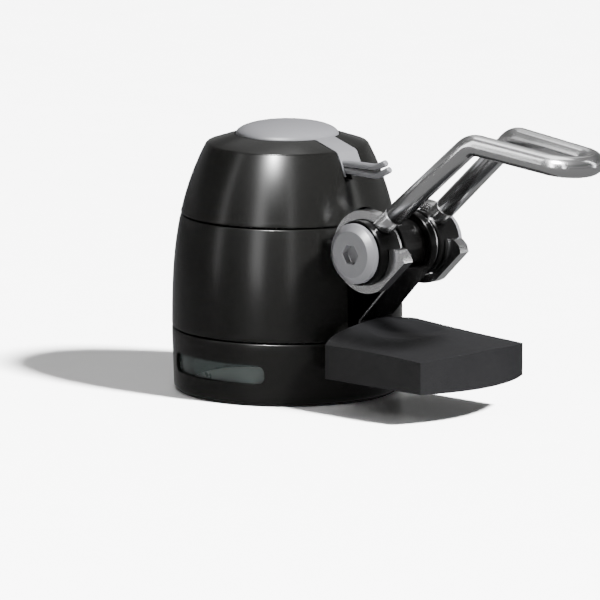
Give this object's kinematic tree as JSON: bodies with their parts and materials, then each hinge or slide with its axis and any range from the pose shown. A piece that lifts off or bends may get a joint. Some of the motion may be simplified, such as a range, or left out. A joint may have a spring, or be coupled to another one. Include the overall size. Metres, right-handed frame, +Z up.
{
  "type": "lever corkscrew",
  "caption": "Barrel lever corkscrew that stands over a bottle neck, with a chromed bail lever and a hand paddle on its side.",
  "frame": {"origin": "middle of the footprint box, on the surface that the object stands on", "axes": "+Z up along the barrel, +X from the barrel towards the lever and paddle, +Y along the lever's axle"},
  "size_m": [0.1806, 0.0792, 0.0993],
  "materials": {
    "gloss_black": "gloss",
    "light_grey": "satin",
    "chrome": "polished",
    "charcoal": "matte",
    "dark_moulding": "matte",
    "steel": "satin",
    "rubber": "matte",
    "window": "gloss",
    "bronze": "satin"
  },
  "bodies": {
    "housing": {"base_ring": "gloss_black", "sight_window": "window", "foot_ring": "rubber", "middle_sleeve": "gloss_black", "upper_hood": "gloss_black", "neck_guide": "dark_moulding", "neck_grip": "rubber", "worm_nut": "steel", "nut_pin": "steel", "deck_plate": "steel", "top_plate": "steel", "guide_rod_right": "steel", "guide_rod_left": "steel", "rod_screw_right": "steel", "rod_screw_left": "steel", "deck_screw_1": "steel", "deck_screw_2": "steel", "deck_screw_3": "steel", "axle_lug": "gloss_black", "lug_screw_1": "steel", "lug_screw_2": "steel", "lug_screw_3": "steel", "lug_screw_4": "steel", "cap_spring": "steel"},
    "lever": {"axle": "steel", "hub_boss_right": "gloss_black", "hub_boss_left": "gloss_black", "hub_washer_right": "steel", "hub_washer_left": "steel", "end_screw_right": "light_grey", "end_screw_left": "light_grey", "claw_right": "chrome", "claw_left": "chrome", "bail_handle": "chrome", "drive_arm": "steel", "drive_pin": "steel"},
    "hand_rest": {"hinge_leaf": "gloss_black", "paddle": "charcoal", "paddle_screw_1": "steel", "paddle_screw_2": "steel"},
    "carriage": {"worm_carriage": "dark_moulding", "carriage_bush_right": "bronze", "carriage_bush_left": "bronze"},
    "worm_spindle": {"worm": "steel", "worm_collar": "steel", "worm_circlip": "steel"},
    "release": {"release_cap": "light_grey", "prong_upper": "light_grey", "prong_lower": "light_grey", "cap_stem": "steel"}
  },
  "joints": [
    {"name": "lever_swing", "type": "hinge", "parent": "housing", "child": "lever", "pos_m": [0.00015, 0, 0.0549], "axis": [0, -1, 0], "range_deg": [0, 73]},
    {"name": "hand_rest_swing", "type": "hinge", "parent": "housing", "child": "hand_rest", "pos_m": [0.00015, 0, 0.0549], "axis": [0, 1, 0], "range_deg": [-35, 0]},
    {"name": "carriage_slide", "type": "slide", "parent": "housing", "child": "carriage", "axis": [0, 0, 1], "range_m": [-0.0384, 0.0002]},
    {"name": "worm_spin", "type": "hinge", "parent": "carriage", "child": "worm_spindle", "pos_m": [-0.05075, 0, 0.06], "axis": [0, 0, 1], "range_deg": [-1540, 10]},
    {"name": "release_press", "type": "slide", "parent": "housing", "child": "release", "axis": [0, 0, -1], "range_m": [0, 0.0015], "stiffness_N_per_m": 1500, "springref_m": -0.0015, "deforming": ["cap_spring"]}
  ],
  "couplings": [
    {"joint": "carriage_slide", "follows": "lever_swing", "m_per_rad": -0.02988},
    {"joint": "worm_spin", "follows": "lever_swing", "ratio": -20.86}
  ]
}
